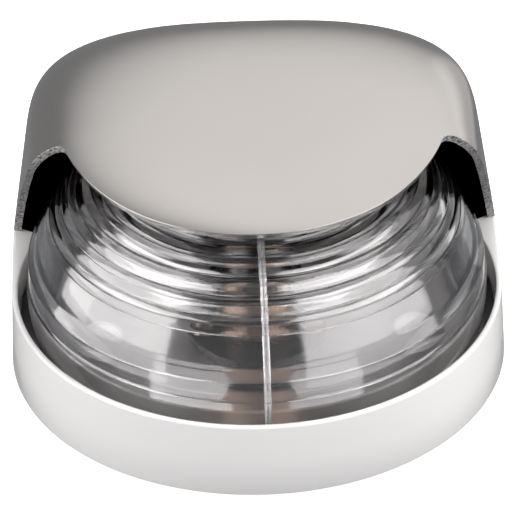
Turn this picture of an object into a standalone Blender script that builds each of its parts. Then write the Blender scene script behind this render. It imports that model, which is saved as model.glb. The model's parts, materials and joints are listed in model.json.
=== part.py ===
"""Hooded deck navigation light: a white moulded base, a clear ringed lens and a cast steel hood.

Every piece is one object. Lengths below are in millimetres and become metres through MM.
The origin is on the lens axis at the underside of the base; the light faces -Y and +Z is up.
"""

import math

import bmesh
import bpy
from mathutils import Matrix, Vector

MM = 0.001
GAP = 0.3

# Outline of the base and of the hood's foot
WIDTH = 100.0
HALF_WIDTH = WIDTH / 2
REAR_DEPTH = 51.8
REAR_POWER = 4.8
FRONT_STEPS = 28
CORNER_STEPS = 10

# Base
BASE_HEIGHT = 16.4
BASE_DRAFT = 0.5
FLOOR = 2.8
OPENING_RADIUS = 48.8
LEDGE_RADIUS = 43.0
LEDGE_Z = 9.0
WELL_RADIUS = 8.0
WELL_Z = 1.2
DECK_HOLE_X = 33.0
DECK_HOLE_RADIUS = 2.3
GROMMET_Y = 33.0
GROOVE_INNER, GROOVE_OUTER, GROOVE_DEPTH = 44.5, 48.2, 1.2

# Hood
HOOD_WALL = 1.6
HOOD_TOP = 58.6
SHOULDER_Z = 42.8
SIDE_TAPER = 0.138
REAR_TAPER = 0.233
REAR_TAPER_Z = 22.0
VISOR_DEPTH = 43.6
VISOR_Z = 55.0
VISOR_ROOT_Z = 55.5
CROWN_POWER = 3.85
CROWN_REAR_POWER = 2.0
FOOT_Y = 21.6

# Lugs at the hood's rear, cast with it, that lap over the back of the base
TAB_X = 10.0
TAB_WIDTH = 9.0
TAB_THICKNESS = 1.6
TAB_BOTTOM = 2.0
TAB_TOP = 22.0
TAB_Y = REAR_DEPTH + GAP

# Cover screws
SCREW_Z = 5.2
SCREW_SHANK = 1.5
SCREW_TIP_Y = 43.2
INSERT_FRONT_Y = 44.3

# Lens: a vertical foot with two steps, a clear band, then rings round a torus-shaped shoulder
LENS_BOTTOM = LEDGE_Z + 1.8
FOOT_RADIUS = 46.9
STEP_LOW_Z = 20.3
STEP_HIGH_Z = 24.8
STEP_DEPTH = 0.4
ARC_CENTRE_R = 18.9
ARC_CENTRE_Z = 20.1
ARC_RADIUS = 27.2
RING_FIRST_DEG = 29.3
RING_PITCH_DEG = 8.3
RING_COUNT = 7
RING_DEPTH = 0.7
LENS_WALL = 2.4
CROWN_Z = 47.4
RIB_WIDTH = 1.3
RIB_HEIGHT = 0.5
RIB_TURN_DEG = 1.5
LENS_SEGMENTS = 56

# Bulb holder
REFLECTOR_RADIUS = 41.5
FLANGE_RADIUS = 14.0
FLANGE_TOP = 5.6
SHELL_RADIUS = 8.3
SHELL_BORE = 7.9
SHELL_TOP = 20.0
RIVET_X = 11.3
STRIP_X = 5.5
STRIP_END_Y = 21.5
TWIST_DEG = 22.0

# Bulb
CAP_RADIUS = 7.5
CAP_BOTTOM = 10.4
CAP_TOP = 22.0
PIN_Z = 16.5
PIN_RADIUS = 1.0
GLASS_RADIUS = 9.5
GLASS_CENTRE_Z = 32.2
FILAMENT_Z = 30.2


def clear_scene():
    for obj in list(bpy.data.objects):
        bpy.data.objects.remove(obj, do_unlink=True)


def make_collection(name, hidden=False):
    collection = bpy.data.collections.new(name)
    bpy.context.scene.collection.children.link(collection)
    collection.hide_render = hidden
    return collection


clear_scene()
PARTS = make_collection("navigation_light")
CUTTERS = make_collection("cutters", hidden=True)


def material(name, colour, roughness, metallic=0.0, transmission=0.0):
    result = bpy.data.materials.new(name)
    result.use_nodes = True
    shader = result.node_tree.nodes["Principled BSDF"]
    shader.inputs["Base Color"].default_value = (*colour, 1.0)
    shader.inputs["Roughness"].default_value = roughness
    shader.inputs["Metallic"].default_value = metallic
    shader.inputs["Transmission Weight"].default_value = transmission
    result.diffuse_color = (*colour, 1.0 - 0.65 * transmission)
    return result


# Shared modelling steps


def place(obj, finish=None):
    """Puts an object with the parts, or with the cutters when it has no finish."""
    for collection in list(obj.users_collection):
        collection.objects.unlink(obj)
    if finish is None:
        CUTTERS.objects.link(obj)
        obj.hide_render = True
        obj.display_type = "WIRE"
    else:
        PARTS.objects.link(obj)
        obj.data.materials.clear()
        obj.data.materials.append(finish)
    return obj


def from_bmesh(name, mesh_data, finish=None):
    bmesh.ops.recalc_face_normals(mesh_data, faces=mesh_data.faces)
    mesh = bpy.data.meshes.new(name)
    mesh_data.to_mesh(mesh)
    mesh_data.free()
    return place(bpy.data.objects.new(name, mesh), finish)


def box(name, low, high, finish=None):
    solid = bmesh.new()
    bmesh.ops.create_cube(solid, size=1.0)
    low, high = Vector(low) * MM, Vector(high) * MM
    bmesh.ops.scale(solid, vec=high - low, verts=solid.verts)
    bmesh.ops.translate(solid, vec=(low + high) / 2, verts=solid.verts)
    return from_bmesh(name, solid, finish)


def cylinder(name, radius, start, end, finish=None, segments=32):
    """A round bar between two points."""
    start, end = Vector(start) * MM, Vector(end) * MM
    solid = bmesh.new()
    bmesh.ops.create_cone(
        solid,
        cap_ends=True,
        segments=segments,
        radius1=radius * MM,
        radius2=radius * MM,
        depth=(end - start).length,
    )
    turn = (end - start).to_track_quat("Z", "Y").to_matrix().to_4x4()
    bmesh.ops.transform(solid, matrix=Matrix.Translation((start + end) / 2) @ turn, verts=solid.verts)
    return from_bmesh(name, solid, finish)


def turned(name, profile, finish=None, segments=48, closed=True):
    """Turns (radius, height) points about +Z. The profile runs down its outer side first."""
    mesh = bpy.data.meshes.new(name)
    points = [(radius * MM, 0.0, height * MM) for radius, height in profile]
    edges = [(index, index + 1) for index in range(len(points) - 1)]
    if closed:
        edges.append((len(points) - 1, 0))
    mesh.from_pydata(points, edges, [])
    obj = place(bpy.data.objects.new(name, mesh), finish)
    screw = obj.modifiers.new("Turn", "SCREW")
    screw.axis = "Z"
    screw.steps = segments
    screw.render_steps = segments
    screw.use_merge_vertices = True
    screw.merge_threshold = 0.00001
    screw.use_smooth_shade = False
    return obj


def to_mesh(curve_object):
    """Replaces a curve object by the welded mesh it makes."""
    graph = bpy.context.evaluated_depsgraph_get()
    mesh = bpy.data.meshes.new_from_object(curve_object.evaluated_get(graph))
    welded = bmesh.new()
    welded.from_mesh(mesh)
    bmesh.ops.remove_doubles(welded, verts=welded.verts, dist=0.000001)
    bmesh.ops.recalc_face_normals(welded, faces=welded.faces)
    welded.to_mesh(mesh)
    welded.free()
    name = curve_object.name
    result = bpy.data.objects.new(name, mesh)
    result.matrix_world = curve_object.matrix_world
    bpy.data.objects.remove(curve_object, do_unlink=True)
    result.name = name
    return result


def extruded(name, outline, low, high, finish=None, across="Z"):
    """A flat outline given thickness from low to high along one axis.

    The outline's two numbers are X, Y for Z, then Y, Z for X, and X, Z for Y.
    """
    curve = bpy.data.curves.new(name, "CURVE")
    curve.dimensions = "2D"
    curve.fill_mode = "BOTH"
    curve.extrude = (high - low) / 2 * MM
    spline = curve.splines.new("POLY")
    spline.points.add(len(outline) - 1)
    for point, (first, second) in zip(spline.points, outline):
        point.co = (first * MM, second * MM, 0.0, 1.0)
    spline.use_cyclic_u = True
    middle = (low + high) / 2 * MM
    frames = {
        "Z": Matrix.Translation((0, 0, middle)),
        "X": Matrix(((0, 0, 1, middle), (1, 0, 0, 0), (0, 1, 0, 0), (0, 0, 0, 1))),
        "Y": Matrix(((1, 0, 0, 0), (0, 0, -1, middle), (0, 1, 0, 0), (0, 0, 0, 1))),
    }
    obj = bpy.data.objects.new(name, curve)
    bpy.context.scene.collection.objects.link(obj)
    obj.matrix_world = frames[across]
    bpy.context.view_layer.update()
    return place(to_mesh(obj), finish)


def tube(name, points, radius, finish=None, sides=1):
    """A wire through the points, with closed ends."""
    curve = bpy.data.curves.new(name, "CURVE")
    curve.dimensions = "3D"
    curve.bevel_depth = radius * MM
    curve.bevel_resolution = sides
    curve.use_fill_caps = True
    spline = curve.splines.new("POLY")
    spline.points.add(len(points) - 1)
    for point, place_of in zip(spline.points, points):
        point.co = (*(Vector(place_of) * MM), 1.0)
    obj = bpy.data.objects.new(name, curve)
    bpy.context.scene.collection.objects.link(obj)
    bpy.context.view_layer.update()
    return place(to_mesh(obj), finish)


def boolean(obj, other, operation="DIFFERENCE"):
    step = obj.modifiers.new(f"{operation.title()} {other.name}", "BOOLEAN")
    step.operation = operation
    step.solver = "EXACT"
    step.object = other


def cut(obj, *cutters):
    for cutter in cutters:
        boolean(obj, cutter)


def join(obj, *others):
    for other in others:
        boolean(obj, other, "UNION")


def bevel(obj, width, segments=2, angle=40.0):
    step = obj.modifiers.new("Round edges", "BEVEL")
    step.width = width * MM
    step.segments = segments
    step.limit_method = "ANGLE"
    step.angle_limit = math.radians(angle)


def arc(centre, radius, start_deg, end_deg, steps):
    """Points of an arc, both ends included."""
    for step in range(steps + 1):
        angle = math.radians(start_deg + (end_deg - start_deg) * step / steps)
        yield centre[0] + radius * math.cos(angle), centre[1] + radius * math.sin(angle)


def plan_outline(half_width, rear, front, power):
    """A rounded front and a squarer rear, anticlockwise from the right-hand side."""
    corner = list(arc((0, 0), 1.0, 0, 90, CORNER_STEPS))
    right = [(half_width * abs(x) ** (2 / power), rear * y ** (2 / power)) for x, y in corner]
    left = [(-x, y) for x, y in reversed(right[:-1])]
    nose = [(half_width * x, front * y) for x, y in arc((0, 0), 1.0, 180, 360, FRONT_STEPS)]
    return right + left + nose[1:-1]


def loft(name, sections, finish=None, open_bottom=False):
    """Joins (height, outline) sections of equal length into one skin with a flat top."""
    skin = bmesh.new()
    rings = [[skin.verts.new((x * MM, y * MM, z * MM)) for x, y in outline] for z, outline in sections]
    for below, above in zip(rings, rings[1:]):
        for index in range(len(below)):
            after = (index + 1) % len(below)
            skin.faces.new((below[index], below[after], above[after], above[index]))
    skin.faces.new(rings[-1])
    if not open_bottom:
        skin.faces.new(reversed(rings[0]))
    return from_bmesh(name, skin, finish)


# Base


def make_base(finish):
    def outline(grow):
        return plan_outline(HALF_WIDTH + grow, REAR_DEPTH + min(grow, 0.0), HALF_WIDTH + grow, REAR_POWER)

    rim = 0.9
    sections = [(0.0, outline(BASE_DRAFT - 0.5)), (0.5, outline(BASE_DRAFT))]
    for turn in (0, 30, 60, 90):
        angle = math.radians(turn)
        height = BASE_HEIGHT - rim + rim * math.sin(angle)
        sections.append((height, outline(rim * (math.cos(angle) - 1))))
    base = loft("base", sections, finish)
    cut(
        base,
        turned("cut_opening", [(0, 20), (OPENING_RADIUS, 20), (OPENING_RADIUS, LEDGE_Z), (0, LEDGE_Z)],
               closed=False, segments=64),
        turned("cut_cavity", [(0, 12), (LEDGE_RADIUS, 12), (LEDGE_RADIUS, FLOOR), (0, FLOOR)],
               closed=False, segments=48),
        cylinder("cut_well", WELL_RADIUS, (0, 0, WELL_Z), (0, 0, FLOOR + 2)),
        turned("cut_groove", [(GROOVE_OUTER, GROOVE_DEPTH), (GROOVE_OUTER, -1), (GROOVE_INNER, -1),
                              (GROOVE_INNER, GROOVE_DEPTH)], segments=48),
        cylinder("cut_grommet", 5.0, (0, GROMMET_Y, -1), (0, GROMMET_Y, FLOOR + 1)),
        cylinder("cut_grommet_recess", 7.0, (0, GROMMET_Y, -1), (0, GROMMET_Y, 1.6)),
    )
    for side, sign in (("left", -1), ("right", 1)):
        middle = sign * TAB_X
        cut(
            base,
            cylinder(f"cut_deck_hole_{side}", DECK_HOLE_RADIUS, (sign * DECK_HOLE_X, 0, -1),
                     (sign * DECK_HOLE_X, 0, FLOOR + 1), segments=24),
            cylinder(f"cut_insert_{side}", 2.5, (middle, INSERT_FRONT_Y - GAP, SCREW_Z),
                     (middle, REAR_DEPTH + 1, SCREW_Z), segments=24),
            cylinder(f"cut_screw_tip_{side}", SCREW_SHANK + GAP, (middle, SCREW_TIP_Y - 0.8, SCREW_Z),
                     (middle, REAR_DEPTH, SCREW_Z), segments=24),
            cylinder(f"cut_rivet_{side}", 1.5, (sign * RIVET_X, 0, -1), (sign * RIVET_X, 0, FLOOR + 1),
                     segments=20),
            cylinder(f"cut_rivet_recess_{side}", 2.7, (sign * RIVET_X, 0, -1),
                     (sign * RIVET_X, 0, 1.2), segments=24),
        )
    return base


def make_deck_gasket(finish):
    inner, outer, top = GROOVE_INNER + GAP, GROOVE_OUTER - GAP, GROOVE_DEPTH - GAP
    turned("deck_gasket", [(outer, top), (outer, 0), (inner, 0), (inner, top)], finish, segments=48)


def make_grommet(finish):
    bore, waist, flange = 3.5, 4.7, 6.6
    profile = [(flange, 4.2), (flange, 3.1), (waist, 3.1), (waist, 1.3), (flange, 1.3), (flange, 0.1),
               (bore, 0.1), (bore, 4.2)]
    grommet = turned("cable_grommet", profile, finish, segments=24)
    grommet.location = (0, GROMMET_Y * MM, 0)


# Lens


def lens_point(angle_deg, out=0.0):
    angle = math.radians(angle_deg)
    reach = ARC_RADIUS + out
    return ARC_CENTRE_R + reach * math.cos(angle), ARC_CENTRE_Z + reach * math.sin(angle)


def lens_outer_profile():
    """From the crown down to the foot: crown, rings, clear band and the two steps of the foot."""
    points = [(0.0, CROWN_Z), (ARC_CENTRE_R * 0.55, CROWN_Z - 0.25)]
    for ring in reversed(range(RING_COUNT)):
        start = RING_FIRST_DEG + ring * RING_PITCH_DEG
        for share, out in ((0.98, -RING_DEPTH * 0.4), (0.45, RING_DEPTH * 0.15), (0.0, 0.0)):
            points.append(lens_point(start + share * RING_PITCH_DEG, out))
    points += [lens_point(angle, -RING_DEPTH * 0.4) for angle in (RING_FIRST_DEG - 0.6, 24.0, 17.0)]
    points += [
        (FOOT_RADIUS - 2.2 * STEP_DEPTH, STEP_HIGH_Z),
        (FOOT_RADIUS - 1.2 * STEP_DEPTH, STEP_HIGH_Z - STEP_DEPTH),
        (FOOT_RADIUS - STEP_DEPTH, STEP_LOW_Z),
        (FOOT_RADIUS, STEP_LOW_Z - STEP_DEPTH),
        (FOOT_RADIUS, LENS_BOTTOM),
    ]
    return points


def lens_inner_profile():
    """From the foot back up to the crown."""
    wall = LENS_WALL
    points = [(FOOT_RADIUS - wall, LENS_BOTTOM), (FOOT_RADIUS - wall, STEP_LOW_Z)]
    points += [lens_point(angle, -wall) for angle in range(14, 90, 12)]
    points.append((0.0, CROWN_Z - wall - 0.6))
    return points


def make_lens(finish):
    lens = turned("lens", lens_outer_profile() + lens_inner_profile(), finish,
                  segments=LENS_SEGMENTS, closed=False)
    over = [(-radius, height) for radius, height in (
        (FOOT_RADIUS + RIB_HEIGHT, LENS_BOTTOM + 1), (FOOT_RADIUS + RIB_HEIGHT, STEP_LOW_Z))]
    over += [(-r, z) for r, z in (lens_point(angle, RIB_HEIGHT) for angle in range(12, 91, 13))]
    under = [(-r, z) for r, z in (lens_point(angle, -LENS_WALL / 2) for angle in range(84, 11, -12))]
    under += [(-(FOOT_RADIUS - LENS_WALL / 2), STEP_LOW_Z), (-(FOOT_RADIUS - LENS_WALL / 2), LENS_BOTTOM + 1)]
    rib = extruded("join_rib", over + under, -RIB_WIDTH / 2, RIB_WIDTH / 2, across="X")
    rib.matrix_world = Matrix.Rotation(math.radians(RIB_TURN_DEG), 4, "Z") @ rib.matrix_world
    join(lens, rib)


def make_lens_gasket(finish):
    inner, outer = LEDGE_RADIUS + 0.5, OPENING_RADIUS - GAP
    low, high = LEDGE_Z + GAP, LENS_BOTTOM - GAP
    turned("lens_gasket", [(outer, high), (outer, low), (inner, low), (inner, high)], finish, segments=48)


# Hood


def hood_outline(height):
    """The hood's plan at a height: a tapering wall that closes over a flattened crown."""
    rise = max(height - SHOULDER_Z, 0.0) / (HOOD_TOP - SHOULDER_Z)
    shrink = (1.0 - rise**CROWN_POWER) ** (1.0 / CROWN_POWER)
    half_width = (HALF_WIDTH - SIDE_TAPER * (height - BASE_HEIGHT)) * shrink
    rear = (REAR_DEPTH - REAR_TAPER * max(height - REAR_TAPER_Z, 0.0)) * shrink
    power = REAR_POWER + (CROWN_REAR_POWER - REAR_POWER) * rise**1.2
    return plan_outline(half_width, rear, VISOR_DEPTH * shrink, power)


def make_hood(finish):
    heights = [BASE_HEIGHT + GAP, REAR_TAPER_Z, 29.0, 36.0, SHOULDER_Z]
    steps = 12
    for step in range(1, steps + 1):
        turn = math.radians(88.0 * step / steps)
        heights.append(SHOULDER_Z + (HOOD_TOP - SHOULDER_Z) * math.sin(turn) ** (2.0 / CROWN_POWER))
    hood = loft("hood", [(height, hood_outline(height)) for height in heights], finish, open_bottom=True)
    shell = hood.modifiers.new("Wall", "SOLIDIFY")
    shell.thickness = HOOD_WALL * MM
    shell.offset = -1.0
    shell.use_even_offset = True

    far, below = 70.0, 5.0
    foot = [(FOOT_Y + 1.0, below), (FOOT_Y, BASE_HEIGHT)]
    leg = [(19.0, 21.0), (14.5, 28.0), (9.0, 35.2), (3.4, 41.2), (-0.9, 45.8), (-3.6, 49.6), (-4.6, 52.4)]
    corner = [(-5.0, 54.2), (-6.0, 55.2), (-9.0, VISOR_ROOT_Z), (-20.0, VISOR_ROOT_Z)]
    visor = [(-VISOR_DEPTH, VISOR_Z - 0.2), (-far, VISOR_Z - 0.6), (-far, below)]
    cut(hood, extruded("cut_front", foot + leg + corner + visor, -far, far, across="X"))


def make_hood_tab(side, sign, finish):
    """A lug of the hood casting, kept as its own solid, with a slot that is open below for its screw."""
    middle = sign * TAB_X
    half = TAB_WIDTH / 2
    slot = SCREW_SHANK + GAP
    outline = [(middle - slot, TAB_BOTTOM), (middle - half, TAB_BOTTOM), (middle - half, TAB_TOP)]
    outline += [(middle + half, TAB_TOP), (middle + half, TAB_BOTTOM), (middle + slot, TAB_BOTTOM)]
    outline += list(arc((middle, SCREW_Z), slot, 0, 180, 6))
    extruded(f"hood_tab_{side}", outline, TAB_Y, TAB_Y + TAB_THICKNESS, finish, across="Y")


def make_hood_pad(finish):
    top = HOOD_TOP - HOOD_WALL - GAP - 0.1
    low = CROWN_Z + GAP
    turned("hood_pad", [(0, top), (8.0, top), (8.0, top - 2.0), (6.0, low + 0.6), (5.4, low), (0, low)],
           finish, segments=32, closed=False)


# Cover screws


def make_cover_screw(side, sign, steel, washer_finish, brass):
    middle = sign * TAB_X
    washer_y = TAB_Y + TAB_THICKNESS + GAP
    head_y = washer_y + 0.5 + GAP
    screw = cylinder(f"cover_screw_{side}", 2.8, (middle, head_y, SCREW_Z), (middle, head_y + 2.0, SCREW_Z),
                     steel, segments=20)
    bevel(screw, 0.5)
    shank = cylinder(f"join_shank_{side}", SCREW_SHANK, (middle, SCREW_TIP_Y, SCREW_Z),
                     (middle, head_y + 0.8, SCREW_Z), segments=20)
    join(screw, shank)
    for name, half_x, half_z in (("flat", 1.7, 0.35), ("upright", 0.35, 1.7)):
        cut(screw, box(f"cut_{name}_{side}", (middle - half_x, head_y + 1.0, SCREW_Z - half_z),
                       (middle + half_x, head_y + 3.0, SCREW_Z + half_z)))
    washer = cylinder(f"screw_washer_{side}", 3.2, (middle, washer_y, SCREW_Z),
                      (middle, washer_y + 0.5, SCREW_Z), washer_finish, segments=20)
    insert = cylinder(f"screw_insert_{side}", 2.2, (middle, INSERT_FRONT_Y, SCREW_Z),
                      (middle, REAR_DEPTH - 2 * GAP, SCREW_Z), brass, segments=20)
    for piece in (washer, insert):
        cut(piece, cylinder(f"cut_bore_{piece.name}", SCREW_SHANK + GAP, (middle, 40, SCREW_Z),
                            (middle, 60, SCREW_Z), segments=20))


# Bulb holder


def make_reflector(finish):
    thick = 0.6
    low = FLOOR + GAP
    dish = [(REFLECTOR_RADIUS, 8.0), (REFLECTOR_RADIUS - 4.5, low), (WELL_RADIUS, low),
            (WELL_RADIUS, low + thick), (REFLECTOR_RADIUS - 4.9, low + thick),
            (REFLECTOR_RADIUS - 0.7, 8.0)]
    reflector = turned("reflector", dish, finish, segments=48)
    cut(reflector, cylinder("cut_reflector_cable", 7.2, (0, GROMMET_Y, 1), (0, GROMMET_Y, 9)))
    for side, sign in (("left", -1), ("right", 1)):
        cut(
            reflector,
            cylinder(f"cut_reflector_rivet_{side}", 1.5, (sign * RIVET_X, 0, 1), (sign * RIVET_X, 0, 9),
                     segments=20),
            cylinder(f"cut_reflector_deck_{side}", 4.6, (sign * DECK_HOLE_X, 0, 1),
                     (sign * DECK_HOLE_X, 0, 9), segments=24),
        )


def make_socket(finish):
    low = FLOOR + 0.6 + 2 * GAP
    boss_radius, boss_low, recess, recess_low = 7.6, WELL_Z + GAP, 6.4, 2.6
    profile = [(FLANGE_RADIUS, FLANGE_TOP), (FLANGE_RADIUS, low), (boss_radius, low),
               (boss_radius, boss_low), (0, boss_low)]
    socket = turned("socket_body", [(0, FLANGE_TOP)] + profile, finish, segments=36, closed=False)
    join(socket, box("join_terminal_tongue", (-9.5, 9.0, low), (9.5, 24.0, FLANGE_TOP)))
    cut(socket, cylinder("cut_socket_recess", recess, (0, 0, recess_low), (0, 0, 9)))
    for side, sign in (("left", -1), ("right", 1)):
        cut(
            socket,
            cylinder(f"cut_socket_rivet_{side}", 1.5, (sign * RIVET_X, 0, 1), (sign * RIVET_X, 0, 9),
                     segments=20),
            cylinder(f"cut_terminal_hole_{side}", 1.4, (sign * STRIP_X, 18, 1), (sign * STRIP_X, 18, 9),
                     segments=16),
        )


def make_rivet(side, sign, finish):
    head, shank = 2.2, 1.2
    top = FLANGE_TOP + GAP
    profile = [(0, top + 0.8), (head - 0.6, top + 0.8), (head, top + 0.3), (head, top), (shank, top),
               (shank, 0.9), (head, 0.9), (head, 0.1), (0, 0.1)]
    rivet = turned(f"socket_rivet_{side}", profile, finish, segments=20, closed=False)
    rivet.location = (sign * RIVET_X * MM, 0, 0)


def make_terminal(side, sign, brass, steel):
    low = FLANGE_TOP + GAP
    middle = sign * STRIP_X
    strip = box(f"terminal_strip_{side}", (middle - 2.4, 9.2, low), (middle + 2.4, STRIP_END_Y, low + 0.7),
                brass)
    cut(strip, cylinder(f"cut_strip_hole_{side}", 1.4, (middle, 18, 1), (middle, 18, 9), segments=16))
    top = low + 0.7 + GAP
    profile = [(0, top + 1.4), (1.8, top + 1.4), (2.2, top + 1.0), (2.2, top), (1.1, top), (1.1, 4.4),
               (0, 4.4)]
    screw = turned(f"terminal_screw_{side}", profile, steel, segments=20, closed=False)
    screw.location = (middle * MM, 18 * MM, 0)
    cut(screw, box(f"cut_terminal_slot_{side}", (middle - 3, 17.65, top + 0.7), (middle + 3, 18.35, top + 3)))


def sector(inner, outer, start_deg, end_deg):
    near = list(arc((0, 0), inner, start_deg, end_deg, 6))
    far = list(arc((0, 0), outer, end_deg, start_deg, 6))
    return near + far


def make_shell(finish):
    low = FLANGE_TOP + GAP
    profile = [(SHELL_RADIUS, SHELL_TOP), (SHELL_RADIUS, low), (SHELL_BORE, low), (SHELL_BORE, SHELL_TOP)]
    shell = turned("bayonet_shell", profile, finish, segments=48)
    clear = math.degrees((PIN_RADIUS + 0.5) / SHELL_RADIUS)
    for side, start in (("right", 0.0), ("left", 180.0)):
        leg = sector(SHELL_BORE - 1, SHELL_RADIUS + 1, start - clear, start + TWIST_DEG + clear)
        entry = sector(SHELL_BORE - 1, SHELL_RADIUS + 1, start + TWIST_DEG - clear,
                       start + TWIST_DEG + clear)
        cut(
            shell,
            extruded(f"cut_leg_{side}", leg, PIN_Z - PIN_RADIUS - 0.4, PIN_Z + PIN_RADIUS + 0.4),
            extruded(f"cut_entry_{side}", entry, PIN_Z - 0.5, SHELL_TOP + 1),
        )


def helix(radius, low, high, turns, per_turn):
    """Points of a coil about +Z."""
    count = int(turns * per_turn)
    for step in range(count + 1):
        angle = 2 * math.pi * step / per_turn
        height = low + (high - low) * step / count
        yield radius * math.cos(angle), radius * math.sin(angle), height


def make_contact(fibre, brass, steel):
    disc = [(6.0, 7.5), (6.0, 6.3), (1.3, 6.3), (1.3, 7.5)]
    turned("contact_disc", disc, fibre, segments=32)
    pin = [(0, 8.8), (1.7, 8.8), (2.2, 8.3), (2.2, 7.8), (1.0, 7.8), (1.0, 4.5), (0, 4.5)]
    turned("contact_pin", pin, brass, segments=24, closed=False)
    wire = 0.35
    tube("contact_spring", list(helix(4.4, 2.9 + wire, 6.0 - wire, 3.0, 12)), wire, steel)


# Bulb


def make_bulb(brass, glass, black_glass, solder, tungsten):
    wall = 0.3
    cap = turned("bulb_cap", [(CAP_RADIUS, CAP_TOP), (CAP_RADIUS, CAP_BOTTOM), (CAP_RADIUS - wall, CAP_BOTTOM),
                              (CAP_RADIUS - wall, CAP_TOP)], brass, segments=32)
    for side, sign in (("right", 1), ("left", -1)):
        join(cap, cylinder(f"join_pin_{side}", PIN_RADIUS, (sign * (CAP_RADIUS - 0.2), 0, PIN_Z),
                           (sign * (CAP_RADIUS + 1.1), 0, PIN_Z), segments=16))
    rim = CAP_RADIUS - wall - GAP
    turned("bulb_insulator", [(rim, 12.2), (rim, CAP_BOTTOM), (1.1, CAP_BOTTOM), (1.1, 12.2)],
           black_glass, segments=32)
    turned("bulb_contact", [(0, 11.8), (0.8, 11.8), (0.8, 10.1), (2.0, 10.0), (1.6, 9.3), (0, 9.1)],
           solder, segments=24, closed=False)

    neck = CAP_RADIUS - wall - GAP
    thick = 0.7
    swell = list(arc((0, GLASS_CENTRE_Z), GLASS_RADIUS, 90, -30, 8))
    inside = list(arc((0, GLASS_CENTRE_Z), GLASS_RADIUS - thick, -30, 90, 6))
    profile = swell + [(neck, 24.0), (neck, 13.5), (neck - thick, 13.5), (neck - thick, 24.3)] + inside
    profile[0] = (0.0, profile[0][1])
    profile[-1] = (0.0, profile[-1][1])
    turned("bulb_glass", profile, glass, segments=28, closed=False)

    stem = turned("bulb_stem", [(0, 25.0), (1.2, 24.6), (1.6, 22.0), (1.6, 14.0), (0, 14.0)], glass,
                  segments=16, closed=False)
    for side, sign in (("left", -1), ("right", 1)):
        join(stem, tube(f"join_lead_{side}", [(sign * 0.8, 0, 20.0), (sign * 1.0, 0, 25.0),
                                              (sign * 4.6, 0, FILAMENT_Z)], 0.3))
    coil = [(height, y, FILAMENT_Z + 0.9 + x) for x, y, height in helix(0.6, -3.9, 3.9, 6, 6)]
    tube("filament", coil, 0.18, tungsten)


def main():
    white = material("white_plastic", (0.86, 0.86, 0.85), 0.22)
    clear = material("clear_plastic", (0.92, 0.94, 0.95), 0.04, transmission=1.0)
    steel = material("polished_steel", (0.62, 0.60, 0.58), 0.16, metallic=1.0)
    rubber = material("black_rubber", (0.02, 0.02, 0.02), 0.7)
    phenolic = material("black_phenolic", (0.015, 0.015, 0.016), 0.35)
    brass = material("brass", (0.72, 0.45, 0.22), 0.28, metallic=1.0)
    mirror = material("polished_aluminium", (0.75, 0.75, 0.74), 0.12, metallic=1.0)
    nylon = material("white_nylon", (0.8, 0.8, 0.77), 0.45)
    fibre = material("red_fibre", (0.35, 0.06, 0.03), 0.6)
    spring_steel = material("spring_steel", (0.5, 0.5, 0.5), 0.3, metallic=1.0)
    glass = material("bulb_glass_clear", (0.95, 0.97, 0.98), 0.02, transmission=1.0)
    black_glass = material("black_glass", (0.01, 0.01, 0.012), 0.15)
    solder = material("solder", (0.55, 0.56, 0.57), 0.35, metallic=1.0)
    tungsten = material("tungsten", (0.25, 0.25, 0.26), 0.5, metallic=1.0)

    make_base(white)
    make_deck_gasket(rubber)
    make_grommet(rubber)
    make_lens(clear)
    make_lens_gasket(rubber)
    make_hood(steel)
    make_hood_pad(rubber)
    make_reflector(mirror)
    make_socket(phenolic)
    make_shell(brass)
    make_contact(fibre, brass, spring_steel)
    for side, sign in (("left", -1), ("right", 1)):
        make_hood_tab(side, sign, steel)
        make_cover_screw(side, sign, steel, nylon, brass)
        make_rivet(side, sign, brass)
        make_terminal(side, sign, brass, spring_steel)
    make_bulb(brass, glass, black_glass, solder, tungsten)


main()
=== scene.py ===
"""Looks for the hooded navigation light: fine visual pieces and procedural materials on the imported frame.

Lengths are in millimetres and become metres through MM. The lens axis is Z, and the light shines to -Y.
"""

import json
import math

import bmesh
import bpy
from mathutils import Matrix, Vector


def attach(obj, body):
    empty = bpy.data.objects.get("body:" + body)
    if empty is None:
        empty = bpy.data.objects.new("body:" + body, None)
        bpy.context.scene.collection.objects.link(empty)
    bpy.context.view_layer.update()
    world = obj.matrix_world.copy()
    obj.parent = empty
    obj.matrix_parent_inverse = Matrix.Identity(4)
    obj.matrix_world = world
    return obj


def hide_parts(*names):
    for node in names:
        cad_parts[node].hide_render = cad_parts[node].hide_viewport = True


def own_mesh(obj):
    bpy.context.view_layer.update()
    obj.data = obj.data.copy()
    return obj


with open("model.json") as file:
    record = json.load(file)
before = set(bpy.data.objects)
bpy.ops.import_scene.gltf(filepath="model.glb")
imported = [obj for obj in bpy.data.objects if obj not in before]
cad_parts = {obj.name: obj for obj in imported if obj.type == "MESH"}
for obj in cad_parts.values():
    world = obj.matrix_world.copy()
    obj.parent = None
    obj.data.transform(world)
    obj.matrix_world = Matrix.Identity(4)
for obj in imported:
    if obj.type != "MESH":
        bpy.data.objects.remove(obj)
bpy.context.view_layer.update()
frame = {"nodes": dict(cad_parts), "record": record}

MM = 0.001
SCENE = bpy.context.scene

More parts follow.
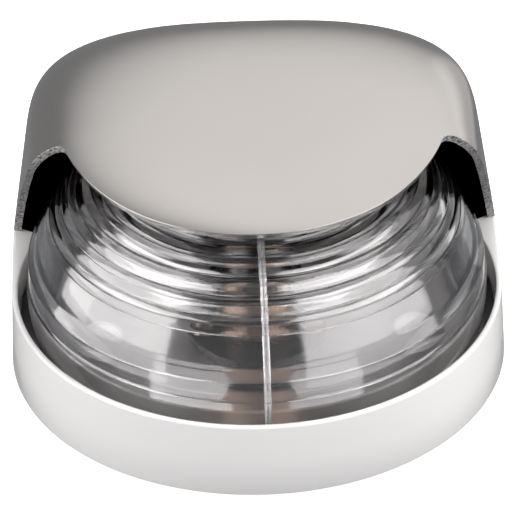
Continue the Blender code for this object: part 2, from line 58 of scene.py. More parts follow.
# Base and hood, as in the CAD
HALF_WIDTH = 50.0
REAR_DEPTH = 51.8
REAR_POWER = 4.8
BASE_HEIGHT = 16.4
BASE_DRAFT = 0.5
FLOOR_Z = 2.8
OPENING_RADIUS = 48.8
LEDGE_RADIUS = 43.0
LEDGE_Z = 9.0
WELL_RADIUS = 8.0
WELL_Z = 1.2
GROOVE_INNER, GROOVE_OUTER, GROOVE_DEPTH = 44.5, 48.2, 1.2
DECK_HOLE_X = 33.0
DECK_HOLE_RADIUS = 2.3
RIVET_X = 11.3
RIVET_RADIUS = 1.5
GROMMET_Y = 33.0
GROMMET_RADIUS = 5.0
INSERT_RADIUS = 2.5
# Behind this Y the top of the base's rim is given painted shade, for the shadow under the hood
PAINTED_SHADE_RIM_Y = 22.5
HOOD_BOTTOM = BASE_HEIGHT + 0.3
HOOD_TOP = 58.6
HOOD_WALL = 1.6
SHOULDER_Z = 42.8
SIDE_TAPER = 0.138
REAR_TAPER = 0.233
REAR_TAPER_Z = 22.0
VISOR_DEPTH = 43.6
VISOR_LIP_Y = -8.0
CROWN_POWER = 3.85
CROWN_REAR_POWER = 2.0
# The hood's lower edge seen from the side, as (Y, Z) from its foot forward to the visor's tip and past it
FRONT_EDGE = ((21.6, 16.4), (19.0, 21.0), (14.5, 28.0), (9.0, 35.2), (3.4, 41.2), (-0.9, 45.8),
              (-3.6, 49.6), (-4.6, 52.4), (-5.0, 54.2), (-6.0, 55.2), (-9.0, 55.5), (-20.0, 55.5),
              (-43.6, 54.8), (-60.0, 54.6))
TAB_X = 10.0
TAB_WIDTH = 9.0
TAB_BOTTOM, TAB_TOP = 2.0, 22.0
TAB_Y = REAR_DEPTH + 0.3
TAB_THICKNESS = 1.6
SCREW_Z = 5.2
SCREW_SHANK = 1.5

# Lens
LENS_BOTTOM = 10.8
FOOT_RADIUS = 46.9
STEP_LOW_Z = 20.3
STEP_HIGH_Z = 24.8
ARC_CENTRE_R = 18.9
ARC_CENTRE_Z = 20.1
ARC_RADIUS = 27.2
RING_FIRST_DEG = 29.3
RING_PITCH_DEG = 8.3
RING_COUNT = 7
LENS_WALL = 2.4
CROWN_Z = 47.4
RIB_HALF_WIDTH = 0.72
RIB_TURN_DEG = 1.5

# Reflector dish
DISH_RADIUS = 41.5
DISH_LOW, DISH_TOP = 3.1, 8.0
DISH_CABLE_RADIUS = 7.2
DISH_DECK_RADIUS = 4.6

# Bulb
GLASS_RADIUS = 9.5
GLASS_WALL = 0.6
GLASS_CENTRE_Z = 32.2
CAP_RADIUS = 7.5
CAP_BOTTOM = 10.4
PIN_RADIUS = 1.0
PIN_Z = 16.5

# Contact spring
SPRING_RADIUS = 4.4
SPRING_BOTTOM = 2.9
SPRING_TOP = 6.0
SPRING_TURNS = 3
SPRING_WIRE = 0.35

# Camera
ELEVATION_DEG = 34.47
YAW_DEG = -0.47
ROLL_DEG = -1.42
DISTANCE = 1319.0
AIM = (-0.23, 0.0, 23.5)
LENS_LENGTH = 457.5


def make_camera():
    """A long lens that looks down on the front of the light, a little turned and rolled."""
    elevation, yaw, roll = (math.radians(angle) for angle in (ELEVATION_DEG, YAW_DEG, ROLL_DEG))
    forward = Vector((-math.sin(yaw) * math.cos(elevation), math.cos(yaw) * math.cos(elevation),
                      -math.sin(elevation)))
    side = Vector((math.cos(yaw), math.sin(yaw), 0.0))
    up = side.cross(forward)
    right = side * math.cos(roll) + up * math.sin(roll)
    top = up * math.cos(roll) - side * math.sin(roll)
    data = bpy.data.cameras.new("camera")
    data.lens = LENS_LENGTH
    data.sensor_width = 36.0
    data.clip_end = 20.0
    camera = bpy.data.objects.new("camera", data)
    SCENE.collection.objects.link(camera)
    turn = Matrix((right, top, -forward)).transposed().to_4x4()
    camera.matrix_world = Matrix.Translation((Vector(AIM) - forward * DISTANCE) * MM) @ turn
    SCENE.camera = camera


make_camera()


# Mesh helpers


def mesh_object(name, shape, *materials):
    """Turns a finished bmesh into a smooth-shaded object."""
    bmesh.ops.recalc_face_normals(shape, faces=shape.faces)
    mesh = bpy.data.meshes.new(name)
    shape.to_mesh(mesh)
    shape.free()
    mesh.shade_smooth()
    obj = bpy.data.objects.new(name, mesh)
    SCENE.collection.objects.link(obj)
    for finish in materials:
        mesh.materials.append(finish)
    return obj


def skin(name, rings, *materials, closed=False):
    """Joins rings of points, each as long as the next or a single point, into one surface."""
    shape = bmesh.new()
    rows = [[shape.verts.new(Vector(point) * MM) for point in ring] for ring in rings]
    pairs = list(zip(rows, rows[1:]))
    if closed:
        pairs.append((rows[-1], rows[0]))
    for below, above in pairs:
        count = max(len(below), len(above))
        for index in range(count):
            after = (index + 1) % count
            corners = [below[index % len(below)], below[after % len(below)],
                       above[after % len(above)], above[index % len(above)]]
            shape.faces.new(list(dict.fromkeys(corners)))
    return mesh_object(name, shape, *materials)


def circle(radius, height, segments):
    """A ring about Z, or one point where the radius is zero."""
    if radius == 0:
        return [(0.0, 0.0, height)]
    angles = (2 * math.pi * step / segments for step in range(segments))
    return [(radius * math.cos(angle), radius * math.sin(angle), height) for angle in angles]


def turned(name, profile, *materials, segments=128):
    """Turns (radius, height) points about Z: open between two points on the axis, else a closed loop."""
    rings = [circle(radius, height, segments) for radius, height in profile]
    return skin(name, rings, *materials, closed=profile[0][0] > 0)


def bevel(obj, width, segments=2, angle=35.0):
    """Rounds the edges that turn by more than an angle."""
    step = obj.modifiers.new("Round edges", "BEVEL")
    step.width = width * MM
    step.segments = segments
    step.limit_method = "ANGLE"
    step.angle_limit = math.radians(angle)
    step.harden_normals = True


def arc(centre, radius, start_deg, end_deg, steps):
    """Points along an arc of a flat outline."""
    for step in range(steps + 1):
        angle = math.radians(start_deg + (end_deg - start_deg) * step / steps)
        yield centre[0] + radius * math.cos(angle), centre[1] + radius * math.sin(angle)


def plate(name, outline, rear, front, finish):
    """An (X, Z) outline given thickness along Y."""
    shape = bmesh.new()
    for level in (rear, front):
        shape.faces.new([shape.verts.new(Vector((x, level, z)) * MM) for x, z in outline])
    lower, upper = list(shape.faces)
    for index in range(len(outline)):
        after = (index + 1) % len(outline)
        shape.faces.new((lower.verts[index], lower.verts[after], upper.verts[after], upper.verts[index]))
    return mesh_object(name, shape, finish)


def bake(obj):
    """Replaces the mesh by what its modifiers make of it."""
    graph = bpy.context.evaluated_depsgraph_get()
    mesh = bpy.data.meshes.new_from_object(obj.evaluated_get(graph))
    obj.modifiers.clear()
    obj.data = mesh


def cut(obj, cutter):
    """Cuts obj and drops the cutter."""
    step = obj.modifiers.new("Cut", "BOOLEAN")
    step.operation = "DIFFERENCE"
    step.solver = "EXACT"
    step.object = cutter
    bake(obj)
    bpy.data.objects.remove(cutter, do_unlink=True)


def rod(radius, start, end, segments=32):
    """A round bar between two points, to cut with or to keep."""
    start, end = Vector(start) * MM, Vector(end) * MM
    shape = bmesh.new()
    bmesh.ops.create_cone(shape, cap_ends=True, segments=segments, radius1=radius * MM,
                          radius2=radius * MM, depth=(end - start).length)
    turn = (end - start).to_track_quat("Z", "Y").to_matrix().to_4x4()
    bmesh.ops.transform(shape, matrix=Matrix.Translation((start + end) / 2) @ turn, verts=shape.verts)
    return mesh_object("bar", shape)


def sweep(name, rings, *materials):
    """Joins the rings of a bar and closes its two ends, each with a point at the end ring's middle."""
    first, last = ([tuple(sum(point[axis] for point in ring) / len(ring) for axis in range(3))]
                   for ring in (rings[0], rings[-1]))
    return skin(name, [first, *rings, last], *materials)


def stand_in(obj, body, node):
    """Hangs a piece on its body's empty and hides the CAD node that it stands in for."""
    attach(obj, body)
    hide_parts(node)


# Materials


def surface(name, colour, roughness, metallic=0.0, vary=0.08, patch=60.0, grain=1800.0, bump=0.02,
            wear=0.2, stretch=(1, 1, 1), **extras):
    """A Principled material with broad patches in its colour, grain in its roughness and a fine bump."""
    result = bpy.data.materials.new(name)
    result.use_nodes = True
    nodes, links = result.node_tree.nodes, result.node_tree.links
    shader = nodes["Principled BSDF"]
    position = nodes.new("ShaderNodeTexCoord")
    mapping = nodes.new("ShaderNodeMapping")
    mapping.inputs["Scale"].default_value = stretch
    links.new(position.outputs["Object"], mapping.inputs["Vector"])

    def noise(scale, detail):
        texture = nodes.new("ShaderNodeTexNoise")
        texture.inputs["Scale"].default_value = scale
        texture.inputs["Detail"].default_value = detail
        links.new(mapping.outputs["Vector"], texture.inputs["Vector"])
        return texture

    broad, fine = noise(patch, 4.0), noise(grain, 6.0)
    tint = nodes.new("ShaderNodeMix")
    tint.data_type = "RGBA"
    tint.inputs["A"].default_value = (*(value * (1 - vary) for value in colour), 1.0)
    tint.inputs["B"].default_value = (*(min(value * (1 + vary), 1.0) for value in colour), 1.0)
    contrast = nodes.new("ShaderNodeMapRange")
    contrast.inputs["From Min"].default_value = 0.35
    contrast.inputs["From Max"].default_value = 0.65
    links.new(broad.outputs["Fac"], contrast.inputs["Value"])
    links.new(contrast.outputs["Result"], tint.inputs["Factor"])
    links.new(tint.outputs["Result"], shader.inputs["Base Color"])
    spread = nodes.new("ShaderNodeMapRange")
    spread.inputs["From Min"].default_value = 0.3
    spread.inputs["From Max"].default_value = 0.7
    spread.inputs["To Min"].default_value = roughness * (1 - wear)
    spread.inputs["To Max"].default_value = roughness * (1 + wear)
    links.new(fine.outputs["Fac"], spread.inputs["Value"])
    links.new(spread.outputs["Result"], shader.inputs["Roughness"])
    relief = nodes.new("ShaderNodeBump")
    relief.inputs["Strength"].default_value = 1.0
    relief.inputs["Distance"].default_value = bump * MM
    links.new(fine.outputs["Fac"], relief.inputs["Height"])
    links.new(relief.outputs["Normal"], shader.inputs["Normal"])
    shader.inputs["Metallic"].default_value = metallic
    for socket, value in extras.items():
        shader.inputs[socket.replace("_", " ")].default_value = value
    return result


STEEL = surface("polished_steel", (0.64, 0.615, 0.59), 0.21, 1.0, vary=0.01, patch=40, grain=160, bump=0.0008,
                wear=0.06)
CAST_EDGE = surface("cast_edge", (0.36, 0.355, 0.35), 0.5, 0.4, vary=0.75, patch=2000, grain=1800, bump=0.35)
# The real black paint of the hood's inside, also used as painted shade on the covered rear of the base's rim
BLACK_PAINT_AND_SHADE = surface("black_paint_and_shade", (0.0022, 0.0012, 0.0014), 0.6, vary=0.4, patch=50, grain=900, bump=0.08,
                      Specular_IOR_Level=0.0)
WHITE = surface("white_plastic", (0.84, 0.84, 0.83), 0.18, vary=0.01, patch=30, grain=300, bump=0.004,
                Coat_Weight=0.4)
CLEAR = surface("clear_plastic", (0.94, 0.93, 0.94), 0.06, vary=0.02, patch=60, grain=260, bump=0.006,
                Transmission_Weight=1.0, IOR=1.49, Coat_Weight=1.0, Coat_IOR=1.8, Coat_Roughness=0.11)
FROSTED = surface("frosted_plastic", (0.9, 0.89, 0.9), 0.14, vary=0.1, patch=700, grain=700, bump=0.08,
                  Transmission_Weight=0.8, IOR=1.49)
RUBBER = surface("black_rubber", (0.02, 0.02, 0.021), 0.65, vary=0.2, bump=0.02)
PHENOLIC = surface("black_phenolic", (0.012, 0.012, 0.013), 0.3, vary=0.3, bump=0.01)
BRASS = surface("brass", (0.27, 0.2, 0.155), 0.28, 1.0, vary=0.12, patch=150, bump=0.006,
                stretch=(0.3, 0.3, 1.5))
MIRROR = surface("polished_aluminium", (0.84, 0.825, 0.81), 0.34, 1.0, vary=0.03, patch=90, bump=0.004)
NYLON = surface("white_nylon", (0.78, 0.78, 0.75), 0.42, vary=0.03)
FIBRE = surface("red_fibre", (0.33, 0.06, 0.035), 0.6, vary=0.25, grain=2500, bump=0.03)
SPRING = surface("spring_steel", (0.5, 0.5, 0.5), 0.28, 1.0, vary=0.1)
SCREW = surface("screw_steel", (0.62, 0.61, 0.59), 0.22, 1.0, vary=0.06)
GLASS = surface("bulb_glass", (0.97, 0.98, 0.985), 0.01, vary=0.01, grain=200, bump=0.002,
                Transmission_Weight=1.0, IOR=1.5)
BLACK_GLASS = surface("black_glass", (0.01, 0.01, 0.012), 0.12, vary=0.3)
SOLDER = surface("solder", (0.55, 0.56, 0.57), 0.34, 1.0, vary=0.12, patch=700, bump=0.03)
TUNGSTEN = surface("tungsten", (0.25, 0.25, 0.26), 0.45, 1.0, vary=0.15)


# Base


def rounded_plan(half_width, rear, front, power, angle):
    """The plan's point in one direction: an ellipse ahead of the lens axis, a squarer curve behind it."""
    x, y = math.cos(angle), math.sin(angle)
    if y <= 0:
        return half_width * x, front * y
    reach = (abs(x) ** power + y**power) ** (-1 / power)
    return half_width * reach * x, rear * reach * y


def plan_ring(height, grow, segments=192):
    """The base's outline at a height, grown all round except at the flat rear, which only shrinks."""
    angles = (2 * math.pi * step / segments for step in range(segments))
    plan = (rounded_plan(HALF_WIDTH + grow, REAR_DEPTH + min(grow, 0.0), HALF_WIDTH + grow, REAR_POWER, angle)
            for angle in angles)
    return [(x, y, height) for x, y in plan]


def make_base():
    """The moulded base: groove, drafted side, rounded rim, opening with its ledge, floor, well and holes."""
    segments = 192
    rim = 0.6
    edge = 0.35
    rings = [circle(radius, height, segments) for radius, height in (
        (0, 0), (30, 0), (GROOVE_INNER, 0), (GROOVE_INNER, GROOVE_DEPTH), (GROOVE_OUTER, GROOVE_DEPTH),
        (GROOVE_OUTER, 0))]
    rings += [plan_ring(height, grow) for height, grow in (
        (0.0, BASE_DRAFT - 0.5), (0.12, BASE_DRAFT - 0.18), (0.5, BASE_DRAFT), (8.0, BASE_DRAFT / 2))]
    for radial, up in arc((-rim, BASE_HEIGHT - rim), rim, 0, 90, 6):
        rings.append(plan_ring(up, radial))
    rings += [circle(OPENING_RADIUS + edge - across, BASE_HEIGHT - edge + up, segments)
              for across, up in arc((0, 0), edge, 90, 0, 4)]
    rings += [circle(radius, height, segments) for radius, height in (
        (OPENING_RADIUS, LEDGE_Z + 0.3), (OPENING_RADIUS - 0.3, LEDGE_Z), (LEDGE_RADIUS + 0.3, LEDGE_Z),
        (LEDGE_RADIUS, LEDGE_Z - 0.3), (LEDGE_RADIUS, FLOOR_Z + 0.5), (LEDGE_RADIUS - 0.5, FLOOR_Z),
        (WELL_RADIUS, FLOOR_Z), (WELL_RADIUS, WELL_Z), (0, WELL_Z))]
    base = skin("base_shell", rings, WHITE, BLACK_PAINT_AND_SHADE)
    # Painted shade: the rear of the rim, which the hood covers, gets the black finish to stand for the hood's
    # shadow falling there
    for face in base.data.polygons:
        _, y, z = face.center / MM
        if y > PAINTED_SHADE_RIM_Y and z > BASE_HEIGHT - 0.02:
            face.material_index = 1
    for sign in (-1, 1):
        cut(base, rod(DECK_HOLE_RADIUS, (sign * DECK_HOLE_X, 0, -1), (sign * DECK_HOLE_X, 0, 4)))
        cut(base, rod(RIVET_RADIUS, (sign * RIVET_X, 0, -1), (sign * RIVET_X, 0, 4)))
        cut(base, rod(INSERT_RADIUS, (sign * TAB_X, 44.0, SCREW_Z), (sign * TAB_X, 54, SCREW_Z)))
    cut(base, rod(GROMMET_RADIUS, (0, GROMMET_Y, -1), (0, GROMMET_Y, 4)))
    base.data.set_sharp_from_angle(angle=math.radians(30))
    stand_in(base, "base_body", "base")


# Hood


def front_edge(y):
    """Height of the hood's lower edge at a place Y: a smooth curve through foot, leg, corner and visor."""
    if y >= FRONT_EDGE[0][0]:
        return HOOD_BOTTOM
    last = len(FRONT_EDGE) - 1
    index = max(spot for spot in range(last) if FRONT_EDGE[spot][0] >= y)
    (y0, z0), (y1, z1) = FRONT_EDGE[index], FRONT_EDGE[index + 1]

    def slope(spot):
        before, after = FRONT_EDGE[max(spot - 1, 0)], FRONT_EDGE[min(spot + 1, last)]
        return (after[1] - before[1]) / (after[0] - before[0])

    share, width = (y - y0) / (y1 - y0), y1 - y0
    rise = 3 * share**2 - 2 * share**3
    bend = width * (slope(index) * share * (1 - share) ** 2 - slope(index + 1) * share**2 * (1 - share))
    return max(z0 + (z1 - z0) * rise + bend, HOOD_BOTTOM)


def hood_point(angle, climb):
    """A point of the hood's outside: climb runs from 0 at the foot to 1 at the top of the crown."""
    knee = 0.4
    if climb < knee:
        height = HOOD_BOTTOM + (SHOULDER_Z - HOOD_BOTTOM) * climb / knee
        rise, shrink = 0.0, 1.0
    else:
        turn = math.pi / 2 * (climb - knee) / (1 - knee)
        reach = (math.cos(turn) ** CROWN_POWER + math.sin(turn) ** CROWN_POWER) ** (-1 / CROWN_POWER)
        shrink, rise = max(reach * math.cos(turn), 0.0), reach * math.sin(turn)
        height = SHOULDER_Z + (HOOD_TOP - SHOULDER_Z) * rise
    half_width = (HALF_WIDTH - SIDE_TAPER * (height - BASE_HEIGHT)) * shrink
    rear = (REAR_DEPTH - REAR_TAPER * max(height - REAR_TAPER_Z, 0.0)) * shrink
    power = REAR_POWER + (CROWN_REAR_POWER - REAR_POWER) * rise**1.2
    return (*rounded_plan(half_width, rear, VISOR_DEPTH * shrink, power, angle), height)


def lowest_climb(angle):
    """How far up the hood its lower edge lies in one direction."""
    if hood_point(angle, 0.0)[1] >= FRONT_EDGE[0][0]:
        return 0.0
    low, high = 0.0, 0.99
    for _ in range(30):
        middle = (low + high) / 2
        _, y, z = hood_point(angle, middle)
        if z < front_edge(y):
            low = middle
        else:
            high = middle
    return high


def make_hood():
    """The casting: rows from its lower edge to the top of the crown, in directions finest at the arches."""
    rows = 44
    near, far = [step / 2 for step in range(-24, 56)], range(28, 152, 2)
    degrees = [*near, *far, *(180 - step for step in reversed(near)), *range(194, 348, 2)]
    angles = [math.radians(degree) for degree in degrees]
    starts = [lowest_climb(angle) for angle in angles]
    rings = []
    for row in range(rows):
        share = row / rows
        rings.append([hood_point(angle, start + (1 - start) * share) for angle, start in zip(angles, starts)])
    rings.append([(0.0, 0.0, HOOD_TOP)])
    hood = skin("hood_casting", rings, STEEL, BLACK_PAINT_AND_SHADE, CAST_EDGE)
    shell = hood.modifiers.new("Wall", "SOLIDIFY")
    shell.thickness = HOOD_WALL * MM
    shell.offset = -1.0
    shell.use_even_offset = False
    shell.material_offset = 1
    shell.material_offset_rim = 2
    bake(hood)
    # The visor's lip is polished like the outside, and only the legs' cut edge stays rough
    for face in hood.data.polygons:
        if face.material_index == 2 and face.center.y < VISOR_LIP_Y * MM:
            face.material_index = 0
    bevel(hood, 0.4, segments=3, angle=50)
    stand_in(hood, "hood_body", "hood")


def make_hood_tabs():
    """The two rear lugs with their open screw slots, and the web that roots each in the casting."""
    for side, sign in (("left", -1), ("right", 1)):
        middle, half, slot = sign * TAB_X, TAB_WIDTH / 2, SCREW_SHANK + 0.3
        foot, head = 0.8, 1.5
        foot_z, head_z = TAB_BOTTOM + foot, TAB_TOP - head
        outline = [(middle - slot, TAB_BOTTOM)]
        outline += list(arc((middle - half + foot, foot_z), foot, 270, 180, 3))
        outline += list(arc((middle - half + head, head_z), head, 180, 90, 4))
        outline += list(arc((middle + half - head, head_z), head, 90, 0, 4))
        outline += list(arc((middle + half - foot, foot_z), foot, 0, -90, 3))
        outline.append((middle + slot, TAB_BOTTOM))
        outline += list(arc((middle, SCREW_Z), slot, 0, 180, 12))
        tab = plate(f"hood_lug_{side}", outline, TAB_Y, TAB_Y + TAB_THICKNESS, STEEL)
        bevel(tab, 0.3, segments=3)
        left, right, low, high = middle - half + 1, middle + half - 1, HOOD_BOTTOM + 0.5, TAB_TOP - 1
        web = [(left, low), (left, high), (right, high), (right, low)]
        root = plate(f"hood_lug_root_{side}", web, TAB_Y - 1.2, TAB_Y + 0.3, STEEL)
        bevel(root, 0.2)
        for piece in (tab, root):
            stand_in(piece, "hood_body", f"hood_tab_{side}")


# Lens


def lens_point(angle_deg, out=0.0):
    """(Radius, height) on the lens's rounded shoulder, or off it by a distance."""
    angle = math.radians(angle_deg)
    reach = ARC_RADIUS + out
    return ARC_CENTRE_R + reach * math.cos(angle), ARC_CENTRE_Z + reach * math.sin(angle)


def lens_profile():
    """Crown, rings, clear band and stepped foot, then back up the smooth inside."""
    points = [(0.0, CROWN_Z), (6.0, CROWN_Z - 0.05), (12.0, CROWN_Z - 0.2)]
    relief = ((0.90, -0.60), (0.885, -0.60), (0.82, -0.35), (0.70, -0.08), (0.56, 0.06), (0.52, 0.0),
              (0.48, -0.06), (0.45, 0.06), (0.25, 0.10), (0.02, 0.04), (0.0, 0.0))
    for ring in reversed(range(RING_COUNT)):
        start = RING_FIRST_DEG + ring * RING_PITCH_DEG
        points += [lens_point(start + share * RING_PITCH_DEG, out) for share, out in relief]
    points += [lens_point(angle, out) for angle, out in (
        (RING_FIRST_DEG - 0.5, -0.35), (27.5, -0.38), (25.0, -0.36), (22.0, -0.32), (19.0, -0.28),
        (16.0, -0.24), (13.0, -0.24))]
    high, low = FOOT_RADIUS - 0.9, FOOT_RADIUS - 0.4
    points += [(high, STEP_HIGH_Z + 0.15), (high + 0.1, STEP_HIGH_Z - 0.1), (high + 0.42, STEP_HIGH_Z - 0.35),
               (high + 0.45, STEP_HIGH_Z - 0.7), (low - 0.02, STEP_LOW_Z + 0.15),
               (low + 0.08, STEP_LOW_Z - 0.1), (FOOT_RADIUS - 0.02, STEP_LOW_Z - 0.35),
               (FOOT_RADIUS, STEP_LOW_Z - 0.7), (FOOT_RADIUS, LENS_BOTTOM + 0.3),
               (FOOT_RADIUS - 0.3, LENS_BOTTOM)]
    inner = FOOT_RADIUS - LENS_WALL
    points += [(inner + 0.3, LENS_BOTTOM), (inner, LENS_BOTTOM + 0.3), (inner, STEP_LOW_Z - 1.0)]
    points += [lens_point(angle, -LENS_WALL) for angle in range(4, 90, 4)]
    points += [(12.0, CROWN_Z - LENS_WALL - 0.35), (0.0, CROWN_Z - LENS_WALL - 0.5)]
    return points


def make_lens():
    """The clear moulding and the frosted rib down its front."""
    lens = turned("lens_clear", lens_profile(), CLEAR, segments=224)
    lens.data.set_sharp_from_angle(angle=math.radians(32))
    spine = [(FOOT_RADIUS, LENS_BOTTOM + 0.6), (FOOT_RADIUS, STEP_LOW_Z), (FOOT_RADIUS - 0.45, STEP_HIGH_Z)]
    spine += [lens_point(angle, 0.1) for angle in range(16, 91, 4)]
    rings = []
    for index, (radius, height) in enumerate(spine):
        before, after = spine[max(index - 1, 0)], spine[min(index + 1, len(spine) - 1)]
        along = Vector((after[0] - before[0], after[1] - before[1])).normalized()
        out = Vector((along.y, -along.x))
        ring = []
        for across, rise in arc((0, 0), RIB_HALF_WIDTH, -20, 200, 10):
            lift = rise * 0.8 - 0.02
            ring.append((across, -(radius + out.x * lift), height + out.y * lift))
        rings.append(ring)
    rib = sweep("lens_rib", rings, FROSTED)
    rib.data.transform(Matrix.Rotation(math.radians(RIB_TURN_DEG), 4, "Z"))
    for piece in (lens, rib):
        stand_in(piece, "lens_body", "lens")
    return lens, rib


# Inside


def make_dish():
    """The polished dish on the base's floor, with holes for the cable, the rivets and the deck screws."""
    foot = DISH_RADIUS - 4.6
    profile = [(DISH_RADIUS, DISH_TOP), (DISH_RADIUS - 0.2, DISH_TOP - 0.3), (foot, DISH_LOW + 0.05),
               (foot - 0.6, DISH_LOW), (WELL_RADIUS, DISH_LOW), (WELL_RADIUS, DISH_LOW + 0.6),
               (foot - 0.8, DISH_LOW + 0.6), (foot - 0.2, DISH_LOW + 0.75), (DISH_RADIUS - 0.7, DISH_TOP),
               (DISH_RADIUS - 0.4, DISH_TOP + 0.15)]
    dish = turned("reflector_dish", profile, MIRROR, segments=160)
    cut(dish, rod(DISH_CABLE_RADIUS, (0, GROMMET_Y, 1), (0, GROMMET_Y, 9), 48))
    for sign in (-1, 1):
        cut(dish, rod(DISH_DECK_RADIUS, (sign * DECK_HOLE_X, 0, 1), (sign * DECK_HOLE_X, 0, 9), 40))
        cut(dish, rod(RIVET_RADIUS, (sign * RIVET_X, 0, 1), (sign * RIVET_X, 0, 9)))
    dish.data.set_sharp_from_angle(angle=math.radians(30))
    stand_in(dish, "base_body", "reflector")


def make_bulb():
    """The hollow glass with its neck inside the cap, and the brass cap's thin shell with its two pins."""
    centre = (0, GLASS_CENTRE_Z)
    inner = GLASS_RADIUS - GLASS_WALL
    profile = list(arc(centre, GLASS_RADIUS, 90, -28, 26))
    profile += [(7.6, 25.9), (6.95, 24.9), (6.9, 24.0), (6.9, 13.5), (6.2, 13.5), (6.2, 24.2), (6.9, 25.6)]
    profile += list(arc(centre, inner, -28, 90, 22))
    # The first and last points sit exactly on the axis
    profile[0] = (0.0, GLASS_CENTRE_Z + GLASS_RADIUS)
    profile[-1] = (0.0, GLASS_CENTRE_Z + inner)
    glass = turned("bulb_envelope", profile, GLASS, segments=64)
    stand_in(glass, "bulb_body", "bulb_glass")

    shell = [(CAP_RADIUS, 21.6), (CAP_RADIUS, CAP_BOTTOM + 0.2), (CAP_RADIUS - 0.15, CAP_BOTTOM),
             (CAP_RADIUS - 0.3, CAP_BOTTOM), (CAP_RADIUS - 0.3, 21.9), (CAP_RADIUS - 0.1, 21.95)]
    cap = turned("bulb_cap_shell", shell, BRASS, segments=72)
    stand_in(cap, "bulb_body", "bulb_cap")
    for side, sign in (("left", -1), ("right", 1)):
        pin = rod(PIN_RADIUS, (sign * 7.0, 0, PIN_Z), (sign * 8.6, 0, PIN_Z), 24)
        pin.name = f"bulb_pin_{side}"
        pin.data.materials.append(BRASS)
        bevel(pin, 0.15)
        stand_in(pin, "bulb_body", "bulb_cap")


def make_spring():
    """The coil under the contact, swept at one fixed length."""
    steps = 48 * SPRING_TURNS
    low, high = SPRING_BOTTOM + SPRING_WIRE, SPRING_TOP - SPRING_WIRE
    rings = []
    for step in range(steps + 1):
        turn = 2 * math.pi * SPRING_TURNS * step / steps
        height = low + (high - low) * step / steps
        ring = []
        for across, lift in arc((SPRING_RADIUS, height), SPRING_WIRE, 0, 330, 11):
            ring.append((across * math.cos(turn), across * math.sin(turn), lift))
        rings.append(ring)
    spring = sweep("contact_coil", rings, SPRING)
    stand_in(spring, "base_body", "contact_spring")
    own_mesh(spring)


def dress_cad_nodes():
    """Better materials on the CAD pieces that stay as they are."""
    finishes = {
        "black_rubber": RUBBER, "polished_steel": SCREW, "white_nylon": NYLON, "brass": BRASS,
        "black_phenolic": PHENOLIC, "red_fibre": FIBRE, "spring_steel": SPRING, "black_glass": BLACK_GLASS,
        "solder": SOLDER, "bulb_glass_clear": GLASS, "tungsten": TUNGSTEN, "white_plastic": WHITE,
        "clear_plastic": CLEAR, "polished_aluminium": MIRROR,
    }
    slots = {part["node"]: part["material_slot"] for part in frame["record"]["subparts"]}
    for name, obj in frame["nodes"].items():
        for holder in obj.material_slots:
            holder.material = finishes[slots[name]]


# Stage, in metres

OBJECT_MIDDLE = (0.0, 0.0, 0.03)


def make_stage():
    """A pale floor that only the camera sees, so that it doesn't show in the metal or the lens."""
    shape = bmesh.new()
    bmesh.ops.create_grid(shape, x_segments=1, y_segments=1, size=3.0)
    pale = surface("pale_floor", (0.9, 0.9, 0.9), 0.8, vary=0.01, patch=2, Emission_Strength=0.75)
    pale.node_tree.nodes["Principled BSDF"].inputs["Emission Color"].default_value = (1.0, 1.0, 1.0, 1.0)
    floor = mesh_object("floor", shape, pale)
    floor.location.z = -0.0004
    floor.visible_glossy = False
    floor.visible_diffuse = False
    floor.visible_transmission = False


def softbox(name, position, size, radiance, aim=OBJECT_MIDDLE, **seen_by):
    """A rectangular light of one radiance, in metres, which chosen kinds of ray can be kept from seeing."""
    data = bpy.data.lights.new(name, "AREA")
    data.shape = "RECTANGLE"
    data.size, data.size_y = size
    data.color = (1.0, 0.975, 0.975)
    data.energy = radiance * math.pi * size[0] * size[1]
    light = bpy.data.objects.new(name, data)
    SCENE.collection.objects.link(light)
    light.location = position
    light.rotation_euler = (Vector(aim) - Vector(position)).to_track_quat("-Z", "Y").to_euler()
    for ray, seen in seen_by.items():
        setattr(light, f"visible_{ray}", seen)
    return light


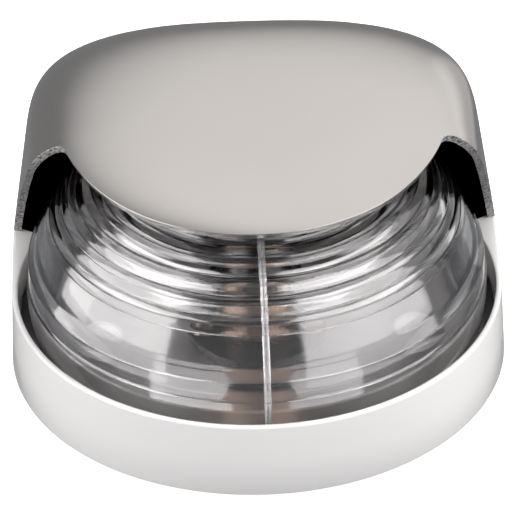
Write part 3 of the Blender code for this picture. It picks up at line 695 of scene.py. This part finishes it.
def make_world():
    """A studio that is brightest above and behind the object and falls off softly to all sides."""
    world = bpy.data.worlds.new("studio")
    world.use_nodes = True
    nodes, links = world.node_tree.nodes, world.node_tree.links
    direction = nodes.new("ShaderNodeTexCoord")
    toward = nodes.new("ShaderNodeVectorMath")
    toward.operation = "DOT_PRODUCT"
    toward.inputs[1].default_value = (0.36, 0.53, 0.77)
    links.new(direction.outputs["Generated"], toward.inputs[0])
    fall = nodes.new("ShaderNodeMapRange")
    fall.interpolation_type = "SMOOTHSTEP"
    fall.inputs["From Min"].default_value = 0.55
    fall.inputs["From Max"].default_value = 0.92
    fall.inputs["To Min"].default_value = 0.23
    fall.inputs["To Max"].default_value = 1.0
    links.new(toward.outputs["Value"], fall.inputs["Value"])
    tint = nodes.new("ShaderNodeMix")
    tint.data_type = "RGBA"
    tint.inputs["A"].default_value = (0.94, 0.96, 1.0, 1.0)
    tint.inputs["B"].default_value = (1.0, 0.985, 0.975, 1.0)
    links.new(fall.outputs["Result"], tint.inputs["Factor"])
    background = nodes["Background"]
    links.new(tint.outputs["Result"], background.inputs["Color"])
    links.new(fall.outputs["Result"], background.inputs["Strength"])
    SCENE.world = world
    SCENE.view_settings.view_transform = "Standard"


def make_lights(lens_pieces):
    """Fills for the white base, softboxes for the reflections, and four more that only the lens shows."""
    softbox("left_fill", (-1.22, -0.54, 0.6), (1.2, 1.2), 5.0, glossy=False, transmission=False)
    softbox("right_fill", (1.22, -0.54, 0.7), (1.2, 1.2), 5.6, glossy=False, transmission=False)
    softbox("left_softbox", (-0.95, -0.22, 0.62), (1.25, 1.6), 2.8, aim=(0, 0, 0.62), diffuse=False)
    softbox("right_softbox", (0.9, -0.6, 0.62), (1.5, 1.6), 2.4, aim=(0, 0, 0.62), diffuse=False)
    softbox("right_rear_softbox", (0.75, 1.2, -0.05), (0.7, 0.9), 0.32, diffuse=False)
    only_lens = bpy.data.collections.new("only_lens")
    for piece in lens_pieces:
        only_lens.objects.link(piece)
    for name, position, size, radiance, aim in (
            ("left_high_softbox", (-0.95, -0.2, 1.3), (1.0, 1.8), 3.6, (-0.95, -0.2, 0)),
            ("right_high_softbox", (0.75, -0.2, 1.3), (1.0, 1.8), 3.6, (0.75, -0.2, 0)),
            ("left_table_glow", (-0.65, -0.95, -0.7), (0.85, 0.9), 2.8, OBJECT_MIDDLE),
            ("right_table_glow", (0.6, -0.95, -0.7), (0.75, 0.9), 2.2, OBJECT_MIDDLE)):
        light = softbox(name, position, size, radiance, aim, diffuse=False)
        light.light_linking.receiver_collection = only_lens


make_base()
make_hood()
make_hood_tabs()
lens_pieces = make_lens()
make_dish()
make_bulb()
make_spring()
dress_cad_nodes()
make_stage()
make_world()
make_lights(lens_pieces)
